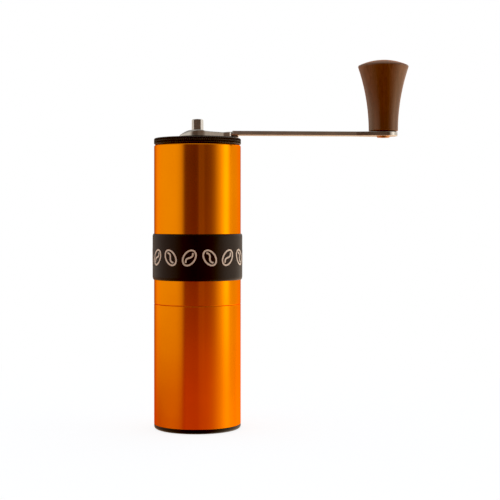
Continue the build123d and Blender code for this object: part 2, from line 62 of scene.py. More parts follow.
PENTAGON_HALF_SIDE = math.pi / 5


# ---------------------------------------------------------------- sizes from the frame

def outer_radius(node):
    """Radius in millimetres of a turned CAD node that stands upright."""
    low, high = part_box(node)
    return (high.y - low.y) / 2 / MM


def heights(node):
    """Lower and upper height of a CAD node in millimetres."""
    low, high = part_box(node)
    return low.z / MM, high.z / MM


CUP_LOW, CUP_HIGH = heights("collection_cup")
TUBE_LOW, TUBE_HIGH = heights("body_tube")
TUBE_RADIUS = outer_radius("body_tube")
BAND_LOW, BAND_HIGH = heights("grip_band")
BAND_RADIUS = outer_radius("grip_band")
PAD_TOP = heights("base_pad")[1]
LID_LOW, LID_HIGH = heights("lid")
LID_RADIUS = outer_radius("lid")
SPINDLE_LOW, SPINDLE_HIGH = heights("spindle")
SPINDLE_RADIUS = outer_radius("spindle")
KNOB_LOW, KNOB_HIGH = heights("knob")
KNOB_X = (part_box("knob")[0].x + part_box("knob")[1].x) / 2
CRANK_LOW, CRANK_HIGH = heights("crank_arm")
DIAL_HIGH = heights("adjuster_dial")[1]
DIAL_RADIUS = outer_radius("adjuster_dial")
SPRING_LOW, SPRING_HIGH = heights("preload_spring")
SPRING_OUTER = outer_radius("preload_spring")


# ---------------------------------------------------------------- mesh helpers

def corner_arc(before, corner, after, radius, steps=5):
    """Points of the arc that rounds one corner of a profile."""
    back = (Vector(before) - Vector(corner)).normalized()
    ahead = (Vector(after) - Vector(corner)).normalized()
    half = math.acos(max(-1.0, min(1.0, back.dot(ahead)))) / 2
    reach = radius / math.tan(half)
    centre = Vector(corner) + (back + ahead).normalized() * radius / math.sin(half)
    start = Vector(corner) + back * reach - centre
    sweep = start.angle_signed(Vector(corner) + ahead * reach - centre)
    points = []
    for step in range(steps + 1):
        angle = -sweep * step / steps
        spoke = Vector((
            start.x * math.cos(angle) - start.y * math.sin(angle),
            start.x * math.sin(angle) + start.y * math.cos(angle),
        ))
        points.append(tuple(centre + spoke))
    return points


def softened(profile):
    """Closed (x, y, rounding) profile in millimetres, as (x, y) points in metres."""
    count = len(profile)
    points = []
    for index, (x, y, rounding) in enumerate(profile):
        if rounding:
            before = profile[index - 1][:2]
            after = profile[(index + 1) % count][:2]
            points += corner_arc(before, (x, y), after, rounding)
        else:
            points.append((x, y))
    return [(x * MM, y * MM) for x, y in points]


def arc(centre, radius, start, end, steps, rise=None):
    """Unrounded profile points on an arc between two angles in radians, ends included.

    With a rise, which is the upward radius, the arc is part of an ellipse.
    """
    up = radius if rise is None else rise
    angles = [start + (end - start) * step / steps for step in range(steps + 1)]
    return [(centre[0] + radius * math.cos(a), centre[1] + up * math.sin(a), 0) for a in angles]


def climb(radius, low, high, steps):
    """Unrounded profile points straight up at one radius, ends included."""
    return [(radius, low + (high - low) * step / steps, 0) for step in range(steps + 1)]


def finish_mesh(name, mesh_data, material, body, sharp=SHARP_DEGREES):
    """Turns a bmesh into a named piece with even outward normals, on one body."""
    bmesh.ops.remove_doubles(mesh_data, verts=mesh_data.verts, dist=MERGE_DISTANCE)
    bmesh.ops.recalc_face_normals(mesh_data, faces=mesh_data.faces)
    mesh = bpy.data.meshes.new(name)
    mesh_data.to_mesh(mesh)
    mesh_data.free()
    mesh.polygons.foreach_set("use_smooth", [True] * len(mesh.polygons))
    mesh.set_sharp_from_angle(angle=math.radians(sharp))
    mesh.materials.append(material)
    piece = bpy.data.objects.new(name, mesh)
    bpy.context.scene.collection.objects.link(piece)
    weighted = piece.modifiers.new("even_normals", "WEIGHTED_NORMAL")
    weighted.keep_sharp = True
    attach(piece, body)
    return piece


def lathe_into(mesh_data, profile, segments, centre_x=0.0, relief=None):
    """Adds a solid of revolution of a closed (radius, height) profile in metres.

    relief(radius, height, angle) is what is added to the radius at one point, in millimetres. Each
    four-sided cell is then split along the diagonal that lies lower, so that grooves stay crisp.
    """
    rings = []
    for radius, height in profile:
        if radius < MERGE_DISTANCE:
            rings.append([mesh_data.verts.new((centre_x, 0.0, height))])
            continue
        ring = []
        for step in range(segments):
            angle = FULL_TURN * step / segments
            reach = radius + (relief(radius / MM, height / MM, angle) * MM if relief else 0.0)
            spot = (centre_x + reach * math.cos(angle), reach * math.sin(angle), height)
            ring.append(mesh_data.verts.new(spot))
        rings.append(ring)
    for index, ring in enumerate(rings):
        other = rings[(index + 1) % len(rings)]
        if len(ring) == 1 and len(other) == 1:
            continue
        for step in range(segments):
            after = (step + 1) % segments
            if len(ring) == 1:
                mesh_data.faces.new((ring[0], other[step], other[after]))
            elif len(other) == 1:
                mesh_data.faces.new((ring[step], ring[after], other[0]))
            elif relief:
                cell = (ring[step], ring[after], other[after], other[step])
                reach = [Vector((v.co.x - centre_x, v.co.y)).length for v in cell]
                first = 0 if reach[0] + reach[2] < reach[1] + reach[3] else 1
                for corners in ((0, 1, 2), (0, 2, 3)):
                    mesh_data.faces.new([cell[(corner + first) % 4] for corner in corners])
            else:
                mesh_data.faces.new((ring[step], ring[after], other[after], other[step]))


def lathe(name, profile, material, body, segments=256, sharp=SHARP_DEGREES,
          centre_x=0.0, relief=None):
    """Piece turned from a closed (radius, height, rounding) profile in millimetres."""
    mesh_data = bmesh.new()
    lathe_into(mesh_data, softened(profile), segments, centre_x, relief)
    return finish_mesh(name, mesh_data, material, body, sharp)


def strand_into(mesh_data, sections, closed):
    """Joins equal rings of vertices in a row, and caps the ends of an open row."""
    following = sections[1:] + sections[:1] if closed else sections[1:]
    for here, there in zip(sections, following):
        for corner in range(len(here)):
            beside = (corner + 1) % len(here)
            mesh_data.faces.new((here[corner], here[beside], there[beside], there[corner]))
    if not closed:
        mesh_data.faces.new(sections[0])
        mesh_data.faces.new(sections[-1][::-1])


# ---------------------------------------------------------------- material helpers

class Nodes:
    """Short-hand for building one shader node tree."""

    def __init__(self, tree):
        self.tree = tree

    def node(self, kind, inputs=None, **settings):
        """New shader node, with its inputs by name or number, and its own settings."""
        made = self.tree.nodes.new("ShaderNode" + kind)
        for key, value in settings.items():
            setattr(made, key, value)
        for socket, value in (inputs or {}).items():
            self.feed(made.inputs[socket], value)
        return made

    def feed(self, socket, value):
        """Links another node's output to a socket, or sets the socket's own value."""
        if isinstance(value, bpy.types.NodeSocket):
            self.tree.links.new(value, socket)
        else:
            socket.default_value = value

    def maths(self, operation, first, second=0.0):
        return self.node("Math", {0: first, 1: second}, operation=operation).outputs[0]

    def ramp(self, factor, *stops):
        """Colour ramp through (position, colour) stops."""
        made = self.node("ValToRGB", {"Fac": factor})
        elements = made.color_ramp.elements
        while len(elements) < len(stops):
            elements.new(0.5)
        for element, (position, color) in zip(elements, stops):
            element.position = position
            element.color = (*color, 1.0)
        return made.outputs["Color"]

    def span(self, factor, low, high, start=0.3, end=0.7):
        """Value from low to high while the factor goes from start to end."""
        made = self.node("MapRange", {"Value": factor, "From Min": start, "From Max": end,
                                      "To Min": low, "To Max": high})
        return made.outputs["Result"]

    def blended(self, factor, first, second, blend_type="MIX"):
        made = self.node("MixRGB", {"Fac": factor, "Color1": first, "Color2": second},
                         blend_type=blend_type)
        return made.outputs["Color"]


class Finish(Nodes):
    """One procedural material, laid out in the object's own space in metres."""

    def __init__(self, name):
        self.material = bpy.data.materials.new(name)
        self.material.use_nodes = True
        super().__init__(self.material.node_tree)
        self.shader = self.tree.nodes["Principled BSDF"]
        self.place = self.node("TexCoord").outputs["Object"]

    def set(self, **values):
        """Feeds the Principled shader's inputs, named with _ for each space."""
        for key, value in values.items():
            self.feed(self.shader.inputs[key.replace("_", " ")], value)

    def stretched(self, scale, vector=None):
        made = self.node("Mapping", {"Vector": vector or self.place, "Scale": scale})
        return made.outputs["Vector"]

    def noise(self, vector, scale=1.0, detail=4.0, roughness=0.55):
        made = self.node("TexNoise", {"Vector": vector, "Scale": scale, "Detail": detail,
                                      "Roughness": roughness})
        return made.outputs["Fac"]

    def bump(self, height, strength, distance, under=None):
        """Bump, on top of another one if it is given."""
        made = self.node("Bump", {"Height": height, "Strength": strength, "Distance": distance})
        if under is not None:
            self.feed(made.inputs["Normal"], under)
        return made.outputs["Normal"]


def anodised_orange():
    """Satin dyed aluminium: faint turning lines, soft handling marks, and a paler, duller bore."""
    finish = Finish("anodised_orange")
    clouds = finish.noise(finish.place, 45.0, 3.0)
    turning = finish.noise(finish.stretched((40.0, 40.0, 2600.0)), detail=2.0)
    handling = finish.noise(finish.place, 30.0, 5.0, 0.65)
    tangent = finish.node("Tangent", direction_type="RADIAL", axis="Z")
    bore_edge, skin_edge = 0.0220, 0.0224
    outward = finish.node("VectorMath", {0: finish.stretched((1.0, 1.0, 0.0))}, operation="LENGTH")
    inside = finish.span(outward.outputs["Value"], 1.0, 0.0, bore_edge, skin_edge)
    dyed = finish.ramp(clouds, (0.3, (0.97, 0.288, 0.0015)), (0.7, (1.0, 0.312, 0.0020)))
    bored = finish.ramp(clouds, (0.3, (0.93, 0.50, 0.15)), (0.7, (0.98, 0.55, 0.19)))
    satin = finish.span(handling, 0.145, 0.185)
    finish.set(
        Base_Color=finish.blended(inside, dyed, bored),
        Metallic=1.0,
        Specular_Tint=(1.0, 0.45, 0.20, 1.0),
        Roughness=finish.maths("ADD", satin, finish.maths("MULTIPLY", inside, 0.22)),
        Anisotropic=0.45,
        Anisotropic_Rotation=0.25,
        Tangent=tangent.outputs["Tangent"],
        Normal=finish.bump(turning, 0.05, 0.00002),
    )
    return finish.material


def moulded_rubber(name, color, roughness):
    """Matt rubber: fine pores, and slightly polished patches."""
    finish = Finish(name)
    pores = finish.noise(finish.place, 2600.0, 3.0)
    smears = finish.noise(finish.place, 60.0, 4.0)
    lighter = tuple(1.8 * channel + 0.001 for channel in color)
    finish.set(
        Base_Color=finish.ramp(smears, (0.35, color), (0.75, lighter)),
        Roughness=finish.span(smears, roughness - 0.05, roughness + 0.06),
        Specular_IOR_Level=0.33,
        Normal=finish.bump(pores, 0.22, 0.00003),
    )
    return finish.material


def black_anodised():
    """Dark dyed aluminium with faint turning lines and handling marks."""
    finish = Finish("black_anodised")
    smears = finish.noise(finish.place, 110.0, 4.0)
    turning = finish.noise(finish.stretched((90.0, 90.0, 2400.0)), detail=2.0)
    finish.set(
        Base_Color=finish.ramp(smears, (0.3, (0.050, 0.043, 0.038)), (0.7, (0.062, 0.054, 0.048))),
        Metallic=0.8,
        Roughness=finish.span(smears, 0.22, 0.29),
        Specular_IOR_Level=0.5,
        Normal=finish.bump(turning, 0.12, 0.00002),
    )
    return finish.material


def brushed_metal(name, color, roughness, grain, anisotropic=0.0):
    """Metal whose fine scratches run along the axis with the smallest grain scale."""
    finish = Finish(name)
    scratches = finish.noise(finish.stretched(grain), detail=4.0, roughness=0.6)
    clouds = finish.noise(finish.place, 140.0, 3.0)
    darker = tuple(0.84 * channel for channel in color)
    finish.set(
        Base_Color=finish.ramp(clouds, (0.3, darker), (0.7, color)),
        Metallic=1.0,
        Roughness=finish.span(scratches, roughness - 0.06, roughness + 0.08),
        Anisotropic=anisotropic,
        Normal=finish.bump(scratches, 0.14, 0.00002),
    )
    return finish.material


def oiled_walnut():
    """Upright grain: soft wavy figure, narrow darker growth lines and short open pores."""
    finish = Finish("oiled_walnut")
    sway = finish.noise(finish.stretched((55.0, 55.0, 16.0)), detail=3.0)
    drift = finish.node("VectorMath", {0: (0.007, 0.005, 0.0), "Scale": sway}, operation="SCALE")
    moved = {0: finish.place, 1: drift.outputs["Vector"]}
    grain = finish.node("VectorMath", moved, operation="ADD").outputs["Vector"]
    figure = finish.noise(finish.stretched((330.0, 150.0, 9.0), grain), detail=4.0, roughness=0.5)
    lines = finish.noise(finish.stretched((1500.0, 900.0, 22.0), grain), detail=3.0)
    pores = finish.noise(finish.stretched((3000.0, 3000.0, 150.0)), detail=2.0, roughness=0.5)
    base = finish.ramp(
        figure,
        (0.30, (0.088, 0.031, 0.0140)), (0.50, (0.124, 0.046, 0.0215)),
        (0.70, (0.165, 0.067, 0.0330)),
    )
    line_tone = finish.ramp(lines, (0.38, (0.62, 0.52, 0.46)), (0.56, (1, 1, 1)))
    pore_tone = finish.ramp(pores, (0.58, (1, 1, 1)), (0.70, (0.40, 0.34, 0.30)))
    lined = finish.blended(0.55, base, line_tone, "MULTIPLY")
    pored = finish.blended(0.7, lined, pore_tone, "MULTIPLY")
    finish.set(
        Base_Color=pored,
        Roughness=finish.span(figure, 0.33, 0.42),
        IOR=1.60,
        Specular_IOR_Level=1.0,
        Specular_Tint=(1.0, 0.72, 0.52, 1.0),
        Sheen_Weight=0.8,
        Sheen_Roughness=0.25,
        Sheen_Tint=(1.0, 0.35, 0.10, 1.0),
        Normal=finish.bump(pores, 0.30, 0.00006, finish.bump(lines, 0.12, 0.00004)),
    )
    return finish.material


def printed_ink(name, darker, lighter):
    """Slightly worn screen print."""
    finish = Finish(name)
    wear = finish.noise(finish.place, 900.0, 4.0)
    finish.set(
        Base_Color=finish.ramp(wear, (0.3, darker), (0.6, lighter)),
        Roughness=0.5,
        Normal=finish.bump(wear, 0.15, 0.00003),
    )
    return finish.material


ORANGE = anodised_orange()
BAND_RUBBER = moulded_rubber("band_rubber", (0.0100, 0.0055, 0.0050), 0.44)
PAD_RUBBER = moulded_rubber("pad_rubber", (0.0060, 0.0045, 0.0040), 0.38)
SEAL_RUBBER = moulded_rubber("seal_rubber", (0.010, 0.009, 0.009), 0.38)
FIBRE = moulded_rubber("black_fibre", (0.008, 0.005, 0.004), 0.65)
BLACK_METAL = black_anodised()
STEEL = brushed_metal("stainless", (0.66, 0.645, 0.61), 0.19, (260.0, 3200.0, 3200.0), 0.2)
SHAFT_STEEL = brushed_metal("shaft_steel", (0.79, 0.78, 0.76), 0.18, (2600.0, 2600.0, 260.0))
BURR_STEEL = brushed_metal("burr_steel", (0.46, 0.46, 0.46), 0.32, (2500.0, 2500.0, 400.0))
RACE_STEEL = brushed_metal("race_steel", (0.72, 0.72, 0.73), 0.14, (300.0, 300.0, 5000.0))
WIRE_STEEL = brushed_metal("wire_steel", (0.50, 0.50, 0.51), 0.30, (2500.0, 2500.0, 2500.0))
BOLT_STEEL = brushed_metal("bolt_steel", (0.50, 0.50, 0.51), 0.32, (2000.0, 2000.0, 2000.0))
CARRIER_ALLOY = brushed_metal("carrier_alloy", (0.52, 0.52, 0.54), 0.34, (400.0, 400.0, 4000.0))
BRASS = brushed_metal("turned_brass", (0.80, 0.56, 0.22), 0.28, (300.0, 300.0, 5000.0))
# The screw's red-brown colour is painted reflection: it stands in for warm light thrown up from
# below.
SCREW_PAINTED_WARM_REFLECTION = brushed_metal("screw_painted_warm_reflection", (0.50, 0.24, 0.10), 0.30, (600, 600, 4000))
WALNUT = oiled_walnut()
BAND_INK = printed_ink("band_ink", (0.78, 0.72, 0.66), (0.90, 0.85, 0.80))
DIAL_INK = printed_ink("dial_ink", (0.70, 0.69, 0.66), (0.82, 0.81, 0.78))


# ---------------------------------------------------------------- orange shells

def make_cup():
    """Lower tube section: open above, with a recess under its floor for the foot pad's plug."""
    inner, recess, floor_top = 21.5, 20.5, CUP_LOW + 3.5
    profile = [
        (0, PAD_TOP, 0), (recess, PAD_TOP, 0.1), (recess, CUP_LOW, 0.1),
        (TUBE_RADIUS, CUP_LOW, 0.15), (TUBE_RADIUS, CUP_HIGH, 0.36), (inner, CUP_HIGH, 0.16),
        (inner, floor_top, 2.4), (0, floor_top, 0),
    ]
    piece = lathe("cup_shell", profile, ORANGE, "cup", 320)
    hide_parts("collection_cup")


def make_tube():
    """Upper tube section: a wider bore above a step, with the snap ring's groove in it."""
    bore, counterbore, step_height = 20.5, 21.3, 134.0
    groove_low, groove_high, groove_radius = 143.0, 144.1, 21.85
    profile = [
        (bore, TUBE_LOW, 0.16), (TUBE_RADIUS, TUBE_LOW, 0.36), (TUBE_RADIUS, TUBE_HIGH, 0.9),
        (counterbore, TUBE_HIGH, 0.25), (counterbore, groove_high, 0),
        (groove_radius, groove_high, 0), (groove_radius, groove_low, 0),
        (counterbore, groove_low, 0), (counterbore, step_height, 0), (bore, step_height, 0.1),
    ]
    piece = lathe("tube_shell", profile, ORANGE, "grinder_body", 320)
    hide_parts("body_tube")


def make_pad():
    """Rubber foot: soft lower edge, ring groove underneath and a plug in the cup's recess."""
    plug, radius = 20.45, TUBE_RADIUS - 0.05
    groove_inner, groove_outer, groove_top = 14.0, 17.0, 0.5
    profile = [
        (0, 0, 0), (groove_inner, 0, 0.1), (groove_inner, groove_top, 0.1),
        (groove_outer, groove_top, 0.1), (groove_outer, 0, 0.1), (radius, 0, 1.35),
        (radius, CUP_LOW, 0.12), (plug, CUP_LOW, 0.1), (plug, PAD_TOP, 0.2), (0, PAD_TOP, 0),
    ]
    piece = lathe("foot_pad", profile, PAD_RUBBER, "cup", 256)
    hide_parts("base_pad")


# ---------------------------------------------------------------- grip band and its print

def make_band():
    """Rubber sleeve with long rounded edges, which hangs a little below the CAD's."""
    play, lip, overhang, steps = 0.02, 0.05, 0.3, 9
    inner = TUBE_RADIUS + play
    across, low_up, high_up = BAND_RADIUS - inner - lip, 1.9, 1.5
    edge, low = BAND_RADIUS - across, BAND_LOW - overhang
    low_edge = arc((edge, low + low_up), across, -QUARTER_TURN, 0, steps, low_up)
    high_edge = arc((edge, BAND_HIGH - high_up), across, 0, QUARTER_TURN, steps, high_up)
    profile = [(inner, low, 0), *low_edge, *high_edge, (inner, BAND_HIGH, 0)]
    piece = lathe("band_sleeve", profile, BAND_RUBBER, "grinder_body", 320)
    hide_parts("grip_band")


def stroke_into(mesh_data, line, closed, width=0.88, height=0.07):
    """Adds a thin raised stroke that follows (around, up) millimetre points on the band."""
    count = len(line)
    sections = []
    for index, point in enumerate(line):
        before = line[index - 1] if closed or index else point
        after = line[(index + 1) % count] if closed or index < count - 1 else point
        ahead = (Vector(after) - Vector(before)).normalized()
        side = Vector((-ahead.y, ahead.x)) * width / 2
        section = []
        for offset, lift in ((side, height), (-side, height), (-side, -height), (side, -height)):
            spot = Vector(point) + offset
            angle = spot.x / BAND_RADIUS
            reach = (BAND_RADIUS + lift) * MM
            corner = (reach * math.cos(angle), reach * math.sin(angle), spot.y * MM)
            section.append(mesh_data.verts.new(corner))
        sections.append(section)
    strand_into(mesh_data, sections, closed)


def make_band_print():
    """Row of plain coffee-bean outlines, tilted left and right in turn."""
    beans, steps = 14, 44
    half_length, half_width, tilt = 4.3, 2.95, math.radians(36)
    crease_length, crease_sway = 0.74, 0.26
    middle = (BAND_LOW + BAND_HIGH) / 2 - 0.2
    spacing = FULL_TURN * BAND_RADIUS / beans
    angles = [FULL_TURN * step / steps for step in range(steps)]
    reaches = [2 * step / steps - 1 for step in range(steps + 1)]
    mesh_data = bmesh.new()
    for bean in range(beans):
        lean = tilt if bean % 2 else -tilt
        centre = Vector((bean * spacing, middle))

        def placed(along, across):
            return tuple(centre + Vector((
                across * math.cos(lean) - along * math.sin(lean),
                across * math.sin(lean) + along * math.cos(lean),
            )))

        outline = [
            placed(half_length * math.sin(a), half_width * math.cos(a)) for a in angles
        ]
        crease = [
            placed(
                crease_length * half_length * reach,
                crease_sway * half_width * math.sin(math.pi * reach),
            )
            for reach in reaches
        ]
        stroke_into(mesh_data, outline, True)
        stroke_into(mesh_data, crease, False)
    finish_mesh("band_print", mesh_data, BAND_INK, "grinder_body")


# ---------------------------------------------------------------- lid

def make_lid():
    """Black lid: knurled rim, dark gap under it, ring groove and raised centre on top."""
    hole, boss, boss_slope, inner, plug, neck = 4.3, 8.9, 0.6, 18.6, 21.15, 21.6
    seal_radius, seal_low, seal_high = 19.8, 146.4, 148.0
    recess_top, seat = 151.2, TUBE_HIGH + 0.03
    rim_radius, rim_low, rim_high = LID_RADIUS + 0.15, 150.1, 153.4
    top_rounding, low_rounding = 0.8, 0.6
    teeth, pitch, depth, first_peak = 137, 2.66, 0.32, 153.1
    rim_skin, plain_edge, rows_per_pitch = 0.62, 0.05, 8
    ring_inner, ring_outer, ring_depth = 18.9, 19.8, 0.4

    def saw(turns):
        return 1 - 2 * abs(turns - math.floor(turns) - 0.5)

    def knurl(radius, height, angle):
        """Two crossing families of slanted V grooves, which run out over the rim's edges."""
        if radius < rim_radius - rim_skin or height < rim_low + plain_edge:
            return 0.0
        around = teeth * angle / FULL_TURN
        along = (height - first_peak) / pitch
        return -depth * max(0.0, 1 - 2 * min(saw(around + along), saw(around - along)))

    # Rings at eighths of the pitch, where the crossings and peaks of the grooves fall.
    rows = [
        (rim_radius, first_peak - pitch * row / rows_per_pitch, 0) for row in range(6, 1, -1)
    ]
    profile = [
        (hole, recess_top, 0.15), (inner, recess_top, 0.6), (inner, LID_LOW, 0.3),
        (plug, LID_LOW, 0.4), (plug, seal_low, 0.1), (seal_radius, seal_low, 0),
        (seal_radius, seal_high, 0), (plug, seal_high, 0.1), (plug, seat, 0), (neck, seat, 0.1),
        (neck, rim_low, 0), (rim_radius, rim_low, low_rounding), *rows,
        (rim_radius, rim_high, top_rounding), (ring_outer, rim_high, 0.1),
        (ring_outer, rim_high - ring_depth, 0.05), (ring_inner, rim_high - ring_depth, 0.05),
        (ring_inner, rim_high, 0.1), (boss + boss_slope, rim_high, 0.2),
        (boss, LID_HIGH, 0.2), (hole, LID_HIGH, 0.2),
    ]
    piece = lathe(
        "knurled_lid", profile, BLACK_METAL, "lid", teeth * 4, 20.0, relief=knurl,
    )
    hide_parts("lid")


# ---------------------------------------------------------------- spindle

def off_flat(angle):
    """Angle from the middle of the nearest flat of the spindle's five-sided end."""
    return (angle - PENTAGON_TURN) % (2 * PENTAGON_HALF_SIDE) - PENTAGON_HALF_SIDE


def make_spindle():
    """Round shaft with a thread for the dial, and a five-sided upper end with a rounded tip."""
    bore, bore_top, drill_point = 2.5, 65.0, 1.2
    thread_low, thread_high, pitch, depth = 142.6, 151.2, 1.0, 0.32
    thread_rows = 70
    sharp_corner_radius, corner_radius, tip_rounding = 3.3, 3.28, 0.95
    taper, true_size_below_tip = 0.0055, 3
    shoulder_skin, side_skin, step = 0.01, 0.001, 0.02
    inside = sharp_corner_radius * math.cos(PENTAGON_HALF_SIDE)

    def shape(radius, height, angle):
        """Cuts the thread's V groove, and the five flats above the shoulder."""
        if height > CRANK_LOW + shoulder_skin:
            flat = inside * (1 + taper * (SPINDLE_HIGH - true_size_below_tip - height))
            return min(0.0, flat / math.cos(off_flat(angle)) - radius)
        if radius > SPINDLE_RADIUS - side_skin and thread_low < height < thread_high:
            turns = height / pitch - angle / FULL_TURN
            fade = min(1.0, (height - thread_low) / pitch, (thread_high - height) / pitch)
            return -depth * fade * abs(2 * (turns - math.floor(turns)) - 1)
        return 0.0

    profile = [
        (0, bore_top, 0), (bore, bore_top - drill_point, 0), (bore, SPINDLE_LOW, 0.2),
        (SPINDLE_RADIUS, SPINDLE_LOW, 0.4),
        *climb(SPINDLE_RADIUS, thread_low, thread_high, thread_rows),
        (SPINDLE_RADIUS, CRANK_LOW, 0.25), (corner_radius, CRANK_LOW, 0),
        (corner_radius, CRANK_LOW + step, 0), (corner_radius, SPINDLE_HIGH, tip_rounding),
        (0, SPINDLE_HIGH, 0),
    ]
    piece = lathe("spindle_shaft", profile, SHAFT_STEEL, "spindle", 240, relief=shape)
    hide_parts("spindle")


# ---------------------------------------------------------------- crank

def plate_into(mesh_data, plan, hole_radius, section, hole_x=0.0):
    """Adds a plate round an upright hole, from a closed (x, y, rounding) plan in millimetres.

    section(x, nose) gives (inset, height) points in millimetres from the lower to the upper
    face, where nose is how far the plan's edge faces away from the arm, from 0 to 1. Rings
    between the edge and the hole, at shelf_shares of the way, let the upper face follow its x.
    The hole has one corner for each point of the plan, so it is coarse where those are far apart.
    """
    shelf_shares = (0.15, 0.35, 0.55, 0.75, 1.0)
    outline = [Vector(point) / MM for point in softened(plan)]
    count = len(outline)
    sections = []
    for index, point in enumerate(outline):
        ahead = outline[(index + 1) % count] - outline[index - 1]
        outward = Vector((ahead.y, -ahead.x)).normalized()
        spoke = point - Vector((hole_x, 0))
        rim = hole_radius(math.atan2(spoke.y, spoke.x)) * spoke.normalized() + Vector((hole_x, 0))
        wall = section(point.x, max(0.0, -outward.x))
        edge = [(point - outward * inset, height) for inset, height in wall]
        spots = [edge[-1][0].lerp(rim, share) for share in shelf_shares]
        shelf = [(spot, section(spot.x, 0.0)[-1][1]) for spot in spots]
        ring = [(rim, section(rim.x, 0.0)[0][1]), *edge, *shelf]
        sections.append([mesh_data.verts.new((p.x * MM, p.y * MM, z * MM)) for p, z in ring])
    strand_into(mesh_data, sections, True)


def make_crank():
    """Drop-shaped hub with a sloping nose, a short gusset, and a flat arm with a round end."""
    hub_radius, flank, boss_steps = 9.6, math.radians(-65.5), 72
    root_start, root_half, root_end, root_blend, root_corner = 13.9, 4.5, 18.5, 3.0, 2.6
    hub_low, hub_high, foot_chamfer = CRANK_LOW + 0.25, CRANK_HIGH + 0.12, 0.15
    hub_rounding, nose_across, nose_up, nose_spread, nose_fullness = 0.45, 5.1, 2.3, 1.4, 0.65
    top_swoop = ((-0.85, 1.8, 5.0), (-0.2, 5.0, 11.0), (0.35, 12.0, 16.5))
    arm_low, arm_start, arm_half, arm_edge, arm_hole = 155.2, 18.3, 4.1, 0.25, 3.0
    end_radius, flare, flare_blend, end_steps = 7.6, 15.3, 12.0, 48
    gusset_start, gusset_end, gusset_corner, gusset_middle = 17.0, 22.3, 1.6, 20.0
    gusset_hole, strip_corner, drive_corner_radius = 0.3, 0.5, 3.4
    end_x = KNOB_X / MM
    wall_steps, edge_steps = 8, 4

    def drive_hole(angle):
        return drive_corner_radius * math.cos(PENTAGON_HALF_SIDE) / math.cos(off_flat(angle))

    def eased(x, start, end):
        """Smooth step from 0 to 1 between two places along the arm."""
        share = min(1.0, max(0.0, (x - start) / (end - start)))
        return share * share * (3 - 2 * share)

    def hub_section(x, nose):
        """Upright wall with a small upper rounding, which grows into a long slope at the nose."""
        share = nose ** nose_spread
        across, up = hub_rounding + nose_across * share, hub_rounding + nose_up * share
        power = 2 / (2 - nose_fullness * share)
        top = hub_high
        for change, start, end in top_swoop:
            top += change * eased(x, start, end)
        points = [(foot_chamfer, hub_low), (0.0, hub_low + foot_chamfer)]
        for step in range(wall_steps + 1):
            angle = QUARTER_TURN * step / wall_steps
            inset = across * (1 - math.cos(angle) ** power)
            points.append((inset, top - up * (1 - math.sin(angle) ** power)))
        return points

    def arm_section(x, nose):
        """Flat strip with small rounded edges, alike all along the arm."""
        points = []
        for centre, start in ((arm_low + arm_edge, -QUARTER_TURN), (CRANK_HIGH - arm_edge, 0.0)):
            for step in range(edge_steps + 1):
                angle = start + QUARTER_TURN * step / edge_steps
                inset = arm_edge * (1 - math.cos(angle))
                points.append((inset, centre + arm_edge * math.sin(angle)))
        return points

    def gusset_section(x, nose):
        """Nearly upright wall that runs up into the arm."""
        return [
            (0.5, CRANK_LOW + 0.1), (0.25, CRANK_LOW + 0.35),
            (0.1, arm_low - 0.4), (0.0, arm_low + 0.3),
        ]

    front = (hub_radius * math.cos(flank), hub_radius * math.sin(flank), 0)
    boss = arc((0, 0), hub_radius, -flank, FULL_TURN + flank, boss_steps)
    hub_plan = [
        (root_start, -root_half, root_blend), (root_end, -root_half, root_corner),
        (root_end, root_half, root_corner), (root_start, root_half, root_blend),
        *boss[:-1], front,
    ]
    flare_tilt = math.atan2(end_radius - arm_half, flare) + 0.02
    sweep = QUARTER_TURN - flare_tilt
    end_arc = arc((end_x, 0), end_radius, flare_tilt - QUARTER_TURN, sweep, end_steps)
    joint_x = end_x - flare
    arm_plan = [
        (arm_start, -arm_half, strip_corner), (joint_x, -arm_half, flare_blend), *end_arc,
        (joint_x, arm_half, flare_blend), (arm_start, arm_half, strip_corner),
    ]
    gusset_plan = [
        (gusset_start, -arm_half, strip_corner), (gusset_end, -arm_half, gusset_corner),
        (gusset_end, arm_half, gusset_corner), (gusset_start, arm_half, strip_corner),
    ]
    mesh_data = bmesh.new()
    plate_into(mesh_data, hub_plan, drive_hole, hub_section)
    plate_into(mesh_data, arm_plan, lambda angle: arm_hole, arm_section, end_x)
    plate_into(mesh_data, gusset_plan, lambda angle: gusset_hole, gusset_section, gusset_middle)
    piece = finish_mesh("crank_lever", mesh_data, STEEL, "crank", 28.0)
    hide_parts("crank_arm")


# ---------------------------------------------------------------- knob

def make_knob():
    """Flared walnut grip: one arc up the side, a shallow dome and small rounded edges."""
    foot_radius, rim_radius, rim_height = 7.85, 13.7, 192.9
    rim_rounding, foot_rounding = 0.8, 0.3
    insert_radius, insert_top = 4.5, 170.2
    dome_steps, side_steps = 16, 30
    flare, rise = rim_radius - foot_radius, rim_height - KNOB_LOW
    side_radius = (flare ** 2 + rise ** 2) / (2 * flare)
    side_angle = math.asin(rise / side_radius)
    dome_rise = KNOB_HIGH - rim_height
    dome_radius = (rim_radius ** 2 + dome_rise ** 2) / (2 * dome_rise)
    dome_angle = math.asin(rim_radius / dome_radius)
    dome_centre = (0, KNOB_HIGH - dome_radius)
    dome = arc(dome_centre, dome_radius, QUARTER_TURN, QUARTER_TURN - dome_angle, dome_steps)
    side_centre = (foot_radius + side_radius, KNOB_LOW)
    side = arc(side_centre, side_radius, math.pi - side_angle, math.pi, side_steps)
    rim = (rim_radius, rim_height, rim_rounding)
    foot = (foot_radius, KNOB_LOW, foot_rounding)
    profile = [
        (0, KNOB_HIGH, 0), *dome[1:-1], rim, *side[1:-1], foot,
        (insert_radius, KNOB_LOW, 0.1), (insert_radius, insert_top, 0), (0, insert_top, 0),
    ]
    piece = lathe("walnut_knob", profile, WALNUT, "knob", 224, centre_x=KNOB_X)
    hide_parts("knob")


# ---------------------------------------------------------------- dial scale and spring

